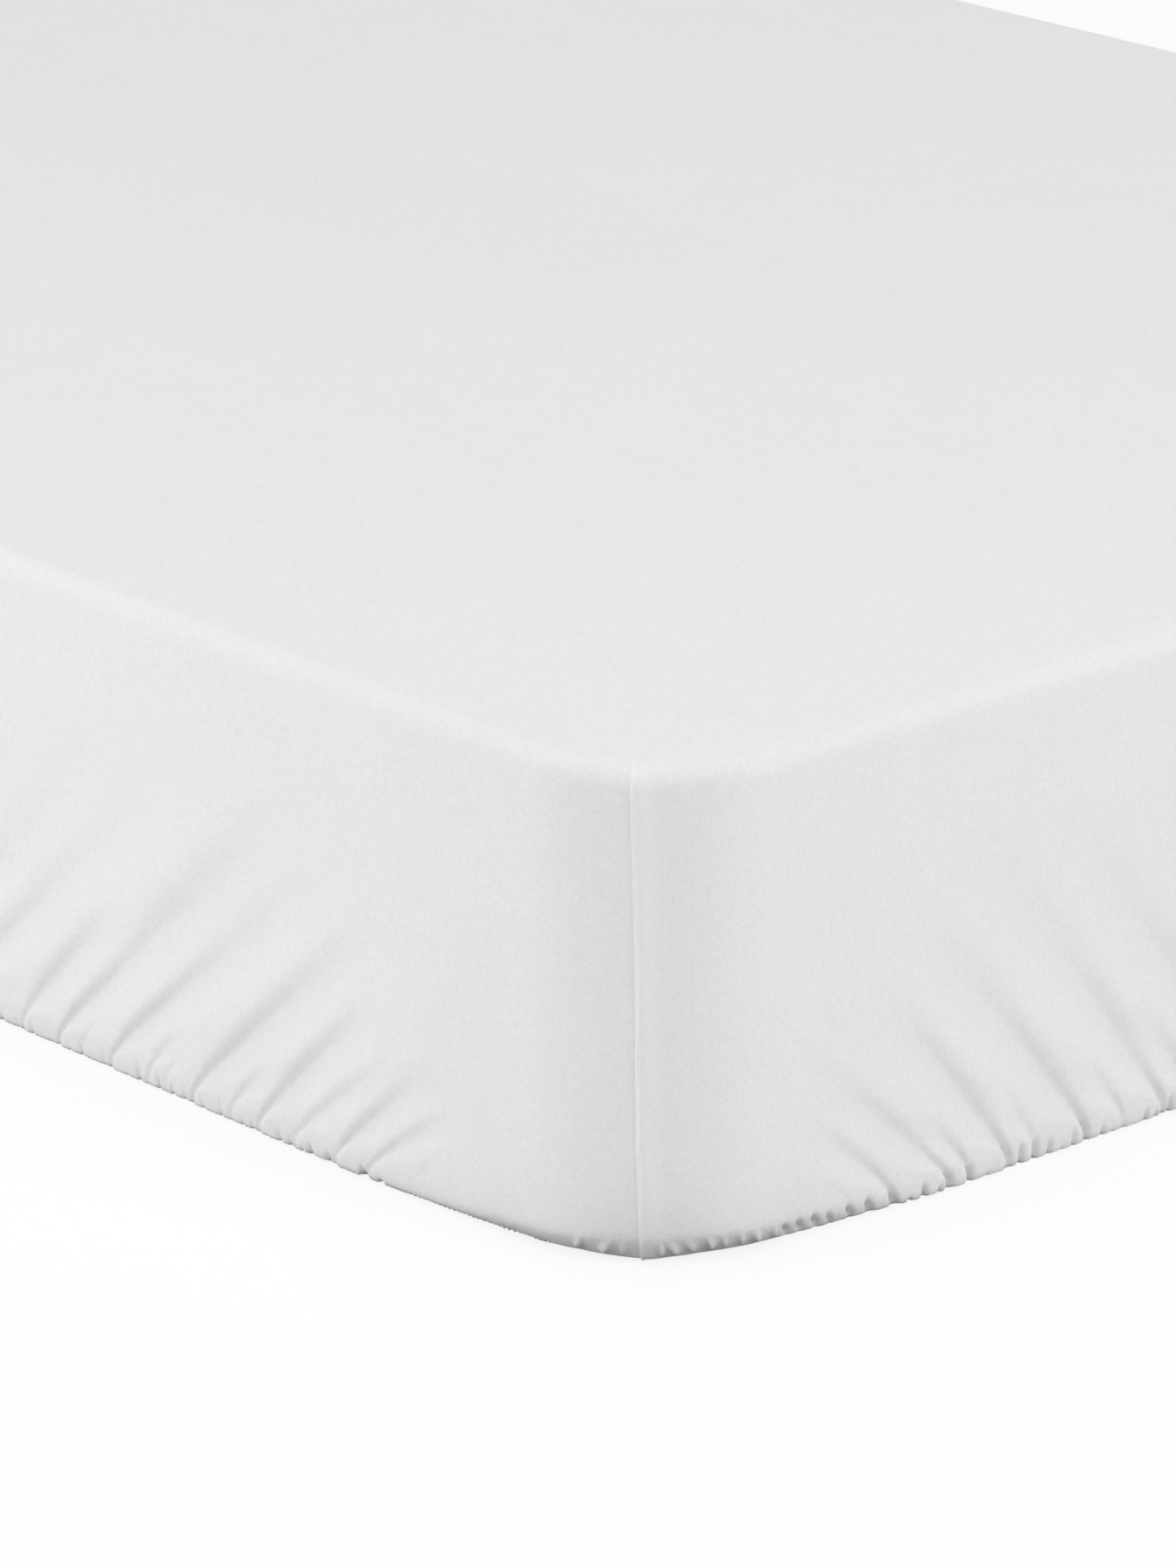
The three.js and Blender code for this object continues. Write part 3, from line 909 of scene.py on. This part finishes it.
def foam_slab():
    mesh = CourseMesh()
    lines = np.linspace(0, GIRTH, int(GIRTH / FOAM_STEP), endpoint=False)
    slack = FOAM_CORNER_MORE * bump(from_seam(lines), FOAM_CORNER_REACH)
    profile = list(FOAM_UNDERSIDE)
    for turn in np.radians(np.linspace(-90, 0, 9)):
        profile.append((FOAM_LOWER_ROUND * (math.cos(turn) - 1), FOAM_LOWER_ROUND * (1 + math.sin(turn))))
    for turn in np.radians(np.linspace(0, 90, 6)):
        height = foam_high.z + FOAM_UPPER_ROUND * (math.sin(turn) - 1)
        profile.append((FOAM_UPPER_ROUND * (math.cos(turn) - 1), height))
    rings = []
    inmost = CORNER * 0.8
    for out, height in profile:
        if out < -CORNER:
            ring_x, ring_y = walk(lines, -inmost)
            x = ring_x * (HALF_LONG + out) / (HALF_LONG - inmost)
            y = ring_y * (HALF_SHORT + out) / (HALF_SHORT - inmost)
        else:
            x, y = walk(lines, out - slack)
        rings.append(mesh.course(lines, lines, x, y, np.full(len(lines), height), height))
    for lower, upper in zip(rings, rings[1:]):
        mesh.join(lower, upper)
    mesh.close(rings[0], flip=True)
    mesh.close(rings[-1])
    return mesh.build("mattress_foam")


foam = foam_slab()

# %% [markdown]
# ## The knit
# The protector is a fine matte jersey. Close to, a jersey shows columns of small V-shaped loops. Here they
# are a bump too small to draw as geometry, laid out by each point's place on the flat cloth so that they
# follow the folds. From further off the loops can't be told apart, and what is left is a faint unevenness
# and a fine mottle. The doubled cloth of the seam allowance is a shade whiter, and the seam's folded edge
# is coloured whiter still as a painted highlight.

# %% Shader helpers
def new_material(name):
    material = bpy.data.materials.new(name)
    material.use_nodes = True
    return material, material.node_tree.nodes, material.node_tree.links


def add_math(nodes, links, operation, first, second=None, third=None):
    node = nodes.new("ShaderNodeMath")
    node.operation = operation
    for socket, value in zip(node.inputs, (first, second, third)):
        if value is None:
            continue
        if isinstance(value, (int, float)):
            socket.default_value = value
        else:
            links.new(value, socket)
    return node.outputs[0]


def add_noise(nodes, links, place, scale, detail, roughness=0.5):
    noise = nodes.new("ShaderNodeTexNoise")
    noise.inputs["Scale"].default_value = scale
    noise.inputs["Detail"].default_value = detail
    noise.inputs["Roughness"].default_value = roughness
    links.new(place, noise.inputs["Vector"])
    return noise.outputs["Fac"]


def add_shades(nodes, links, amount, stops):
    """A colour that goes from the first stop's to the second's as the amount goes from one to the other."""
    shades = nodes.new("ShaderNodeValToRGB")
    for element, (position, color) in zip(shades.color_ramp.elements, stops):
        element.position = position
        element.color = color
    links.new(amount, shades.inputs["Fac"])
    return shades.outputs["Color"]


def add_bump(nodes, links, shader, height, strength, distance):
    raised = nodes.new("ShaderNodeBump")
    raised.inputs["Strength"].default_value = strength
    raised.inputs["Distance"].default_value = distance
    links.new(height, raised.inputs["Height"])
    links.new(raised.outputs["Normal"], shader.inputs["Normal"])


# %% Knit material
LOOP_WIDE = 0.62 * MM
LOOP_TALL = 0.5 * MM
LOOP_SLANT = 1.1
FUZZ = 2.2
UNEVEN = 40
GRAIN_SHARE = 0.75
KNIT_WHITE = (0.897, 0.896, 0.896, 1)
KNIT_SHADE = (0.827, 0.827, 0.828, 1)
# Colour of the doubled allowance, also used as the painted highlight on the seam's folded edge.
KNIT_DOUBLE_AND_LIP_HIGHLIGHT = (0.985, 0.987, 0.985, 1)


def knit_material():
    material, nodes, links = new_material("white_jersey")
    shader = nodes["Principled BSDF"]
    shader.inputs["Roughness"].default_value = 0.92
    shader.inputs["Specular IOR Level"].default_value = 0.10
    shader.inputs["Sheen Weight"].default_value = 0.08
    shader.inputs["Sheen Roughness"].default_value = 0.6

    place = nodes.new("ShaderNodeAttribute")
    place.attribute_name = "cloth_place"
    parts = nodes.new("ShaderNodeSeparateXYZ")
    links.new(place.outputs["Vector"], parts.inputs[0])
    column = add_math(nodes, links, "DIVIDE", parts.outputs["X"], LOOP_WIDE)
    row = add_math(nodes, links, "DIVIDE", parts.outputs["Y"], LOOP_TALL)
    leg = add_math(nodes, links, "PINGPONG", column, 0.5)
    slanted = add_math(nodes, links, "MULTIPLY_ADD", leg, LOOP_SLANT, row)
    loops = add_math(nodes, links, "SINE", add_math(nodes, links, "MULTIPLY", slanted, 2 * math.pi))
    wales = add_math(nodes, links, "SINE", add_math(nodes, links, "MULTIPLY", column, 2 * math.pi))
    knit = add_math(nodes, links, "MULTIPLY_ADD", loops, 0.5, wales)

    where = nodes.new("ShaderNodeTexCoord").outputs["Object"]
    fuzz = add_noise(nodes, links, where, scale=900, detail=2)
    uneven = add_noise(nodes, links, where, scale=420, detail=3, roughness=0.6)
    surface = add_math(nodes, links, "MULTIPLY_ADD", fuzz, FUZZ, knit)
    surface = add_math(nodes, links, "MULTIPLY_ADD", uneven, UNEVEN, surface)
    add_bump(nodes, links, shader, surface, strength=0.12, distance=0.05 * MM)

    tone = add_noise(nodes, links, where, scale=30, detail=6, roughness=0.72)
    grain = add_noise(nodes, links, where, scale=850, detail=1)
    broad = add_math(nodes, links, "MULTIPLY", tone, 1 - GRAIN_SHARE)
    mottle = add_math(nodes, links, "MULTIPLY_ADD", grain, GRAIN_SHARE, broad)
    shades = add_shades(nodes, links, mottle, [(0.25, KNIT_SHADE), (0.75, KNIT_WHITE)])
    # A whiter colour is mixed in on the doubled allowance and, as a painted highlight, on the seam's folded
    # edge.
    strip = nodes.new("ShaderNodeAttribute")
    strip.attribute_name = "double_cloth"
    mix = nodes.new("ShaderNodeMix")
    mix.data_type = "RGBA"
    links.new(strip.outputs["Fac"], mix.inputs["Factor"])
    links.new(shades, mix.inputs[6])
    mix.inputs[7].default_value = KNIT_DOUBLE_AND_LIP_HIGHLIGHT
    links.new(mix.outputs[2], shader.inputs["Base Color"])
    return material


protector.data.materials.append(knit_material())

# %% [markdown]
# ## The ticking
# The mattress's own cover is a plain off-white ticking, woven and a little warmer than the jersey. Two
# crossed waves make its plain weave, and a soft noise varies its tone.

# %% Ticking material
THREAD = 1.1 * MM
TICKING_SHADE = (0.70, 0.685, 0.64, 1)
TICKING_WHITE = (0.76, 0.745, 0.70, 1)


def ticking_material():
    material, nodes, links = new_material("mattress_ticking")
    shader = nodes["Principled BSDF"]
    shader.inputs["Roughness"].default_value = 0.88
    shader.inputs["Specular IOR Level"].default_value = 0.2
    where = nodes.new("ShaderNodeTexCoord").outputs["Object"]
    parts = nodes.new("ShaderNodeSeparateXYZ")
    links.new(where, parts.inputs[0])
    turn = 2 * math.pi / THREAD
    warp = add_math(nodes, links, "SINE", add_math(nodes, links, "MULTIPLY", parts.outputs["X"], turn))
    weft = add_math(nodes, links, "SINE", add_math(nodes, links, "MULTIPLY", parts.outputs["Y"], turn))
    weave = add_math(nodes, links, "MULTIPLY", warp, weft)
    add_bump(nodes, links, shader, weave, strength=0.3, distance=0.08 * MM)
    tone = add_noise(nodes, links, where, scale=30, detail=4)
    shades = add_shades(nodes, links, tone, [(0.35, TICKING_SHADE), (0.65, TICKING_WHITE)])
    links.new(shades, shader.inputs["Base Color"])
    return material


foam.data.materials.append(ticking_material())

# %% [markdown]
# ## Joining the frame
# Both pieces belong to the one rigid body. The cloth stands for the CAD cloth and the foam for the CAD
# mattress.

body = next(iter(frame["bodies"]))
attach(protector, body)
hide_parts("protector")
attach(foam, body)
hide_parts("mattress")

# %% [markdown]
# ## Floor
# A plain floor carries the mattress. The camera sees it nearly white, as a lit paper backdrop is, with the
# soft shadow of the mattress. To the cloth it is a pale floor that sends light back up into the folds. Only
# under the mattress and round its corners it is dull, so that the turned-under hem stays dark.

# %% Floor
FLOOR_HALF = 40.0
FLOOR_PALE = 0.80
FLOOR_DULL = 0.27
PATCH = (47 * MM, 60 * MM)
STRIP = (0.5 * MM, 6 * MM)
FLOOR_FOR_CAMERA = (0.85, 0.85, 0.85, 1)
FLOOR_GLOW = 1.03
FLOOR_GLOW_SHARE = 0.82


def pale_beyond(nodes, links, steps, reach):
    """Reflectance that goes from dull to pale over a reach, with the distance worked out by vector steps."""
    last = nodes.new("ShaderNodeTexCoord").outputs["Object"]
    for operation, second in [("ABSOLUTE", (0, 0, 0))] + steps + [("LENGTH", (0, 0, 0))]:
        node = nodes.new("ShaderNodeVectorMath")
        node.operation = operation
        links.new(last, node.inputs[0])
        if operation in ("SUBTRACT", "MAXIMUM"):
            node.inputs[1].default_value = second
        last = node.outputs["Value" if operation == "LENGTH" else "Vector"]
    tone = nodes.new("ShaderNodeMapRange")
    tone.interpolation_type = "SMOOTHSTEP"
    tone.inputs["From Min"].default_value, tone.inputs["From Max"].default_value = reach
    tone.inputs["To Min"].default_value = FLOOR_DULL
    tone.inputs["To Max"].default_value = FLOOR_PALE
    links.new(last, tone.inputs["Value"])
    return tone.outputs["Result"]


def floor_reflectance(nodes, links):
    """Dull under the mattress and in a round patch at each corner, pale everywhere else."""
    corner_patch = [("SUBTRACT", (CENTRE_X[0], CENTRE_Y[1], 0))]
    under = [("SUBTRACT", (HALF_LONG + FACE_OUT, HALF_SHORT + FACE_OUT, 0)), ("MAXIMUM", (0, 0, 0))]
    patch = pale_beyond(nodes, links, corner_patch, PATCH)
    strip = pale_beyond(nodes, links, under, STRIP)
    return add_math(nodes, links, "MINIMUM", patch, strip)


def floor_material():
    material, nodes, links = new_material("studio_floor")
    nodes.remove(nodes["Principled BSDF"])
    ray = nodes.new("ShaderNodeLightPath")
    seen = add_math(nodes, links, "MAXIMUM", ray.outputs["Is Camera Ray"], ray.outputs["Is Glossy Ray"])
    seen = add_math(nodes, links, "MAXIMUM", seen, ray.outputs["Is Transmission Ray"])
    paper = nodes.new("ShaderNodeBsdfDiffuse")
    tone = nodes.new("ShaderNodeMix")
    tone.data_type = "RGBA"
    links.new(seen, tone.inputs["Factor"])
    links.new(floor_reflectance(nodes, links), tone.inputs[6])
    tone.inputs[7].default_value = FLOOR_FOR_CAMERA
    links.new(tone.outputs[2], paper.inputs["Color"])
    glow = nodes.new("ShaderNodeEmission")
    glow.inputs["Color"].default_value = (1, 1, 1, 1)
    glow.inputs["Strength"].default_value = FLOOR_GLOW
    share = add_math(nodes, links, "MULTIPLY", seen, FLOOR_GLOW_SHARE)
    mix = nodes.new("ShaderNodeMixShader")
    links.new(share, mix.inputs[0])
    links.new(paper.outputs[0], mix.inputs[1])
    links.new(glow.outputs[0], mix.inputs[2])
    links.new(mix.outputs[0], nodes["Material Output"].inputs["Surface"])
    return material


floor_mesh = bpy.data.meshes.new("studio_floor")
floor_corners = [(x * FLOOR_HALF, y * FLOOR_HALF, 0) for x, y in ((-1, -1), (1, -1), (1, 1), (-1, 1))]
floor_mesh.from_pydata(floor_corners, [], [(0, 1, 2, 3)])
floor = bpy.data.objects.new("studio_floor", floor_mesh)
floor.location.z = -0.1 * MM
floor_mesh.materials.append(floor_material())
bpy.context.scene.collection.objects.link(floor)

# %% [markdown]
# ## Surroundings
# Light that comes evenly from all round, as in a white room, reaches into every fold and keeps the shadows
# soft. The camera, and any glossy or clear surface, sees them nearly white however strong that light is.

# %% World
SKY_STRENGTH = 0.50
SKY_SEEN = 0.98


def surround():
    world = bpy.data.worlds.new("studio_surround")
    bpy.context.scene.world = world
    world.use_nodes = True
    nodes, links = world.node_tree.nodes, world.node_tree.links
    light = nodes["Background"]
    light.inputs["Color"].default_value = (1, 1, 1, 1)
    light.inputs["Strength"].default_value = SKY_STRENGTH
    seen = nodes.new("ShaderNodeBackground")
    seen.inputs["Color"].default_value = (1, 1, 1, 1)
    seen.inputs["Strength"].default_value = SKY_SEEN
    ray = nodes.new("ShaderNodeLightPath")
    shown = add_math(nodes, links, "MAXIMUM", ray.outputs["Is Camera Ray"], ray.outputs["Is Glossy Ray"])
    shown = add_math(nodes, links, "MAXIMUM", shown, ray.outputs["Is Transmission Ray"])
    mix = nodes.new("ShaderNodeMixShader")
    links.new(shown, mix.inputs[0])
    links.new(light.outputs[0], mix.inputs[1])
    links.new(seen.outputs[0], mix.inputs[2])
    links.new(mix.outputs[0], nodes["World Output"].inputs["Surface"])


surround()

# %% [markdown]
# ## Lamps
# Two soft lamps rake the two close sides from beyond their ends, so that the folds show and the corner
# between them stays a shade darker. A large lamp overhead lights the top and fills the folds.

# %% Soft lamps
near_corner = Vector((cloth_high.x, cloth_low.y, TOP / 2))
middle = Vector((0, 0, 0))
LAMPS = [
    # name, what it is aimed at, azimuth from +X, elevation, distance, size, strength
    ("long_side_lamp", near_corner, -125, 12, 1.7, 1.0, 9.3),
    ("short_side_lamp", near_corner, 20, 25, 2.4, 1.4, 17.4),
    ("overhead_lamp", middle, 0, 90, 4.5, 4.0, 63),
]


def add_lamp(name, target, azimuth, elevation, distance, size, strength):
    light = bpy.data.lights.new(name, "AREA")
    light.shape = "DISK"
    light.size = size
    light.energy = strength
    lamp = bpy.data.objects.new(name, light)
    turn, lift = math.radians(azimuth), math.radians(elevation)
    away = Vector((math.cos(turn) * math.cos(lift), math.sin(turn) * math.cos(lift), math.sin(lift)))
    lamp.location = target + away * distance
    lamp.rotation_mode = "QUATERNION"
    lamp.rotation_quaternion = away.to_track_quat("Z", "Y")
    bpy.context.scene.collection.objects.link(lamp)


for row in LAMPS:
    add_lamp(*row)

# %% [markdown]
# ## Camera
# A long lens looks at one corner from a little above, close enough that the corner fills the picture and
# the rest of the mattress runs out of it.

# %% Camera
VIEW_AZIMUTH = 48.21
VIEW_ELEVATION = 19.10
VIEW_DISTANCE = 1.9903
LENS = 170.84
AIM_FROM_CORNER = Vector((-42.9, 19.1, 128.6)) * MM

camera_data = bpy.data.cameras.new("corner_view")
camera_data.lens = LENS
camera_data.sensor_width = 36
camera_data.clip_start = 0.05
camera_data.clip_end = 200
camera = bpy.data.objects.new("corner_view", camera_data)
plan_corner = Vector((HALF_LONG + FACE_OUT, -HALF_SHORT - FACE_OUT, 0))
turn, lift = math.radians(VIEW_AZIMUTH), math.radians(VIEW_ELEVATION)
back = Vector((math.sin(turn) * math.cos(lift), -math.cos(turn) * math.cos(lift), math.sin(lift)))
camera.location = plan_corner + AIM_FROM_CORNER + back * VIEW_DISTANCE
camera.rotation_mode = "QUATERNION"
camera.rotation_quaternion = (-back).to_track_quat("-Z", "Y")
bpy.context.scene.collection.objects.link(camera)
bpy.context.scene.camera = camera
bpy.context.scene.view_settings.view_transform = "Standard"
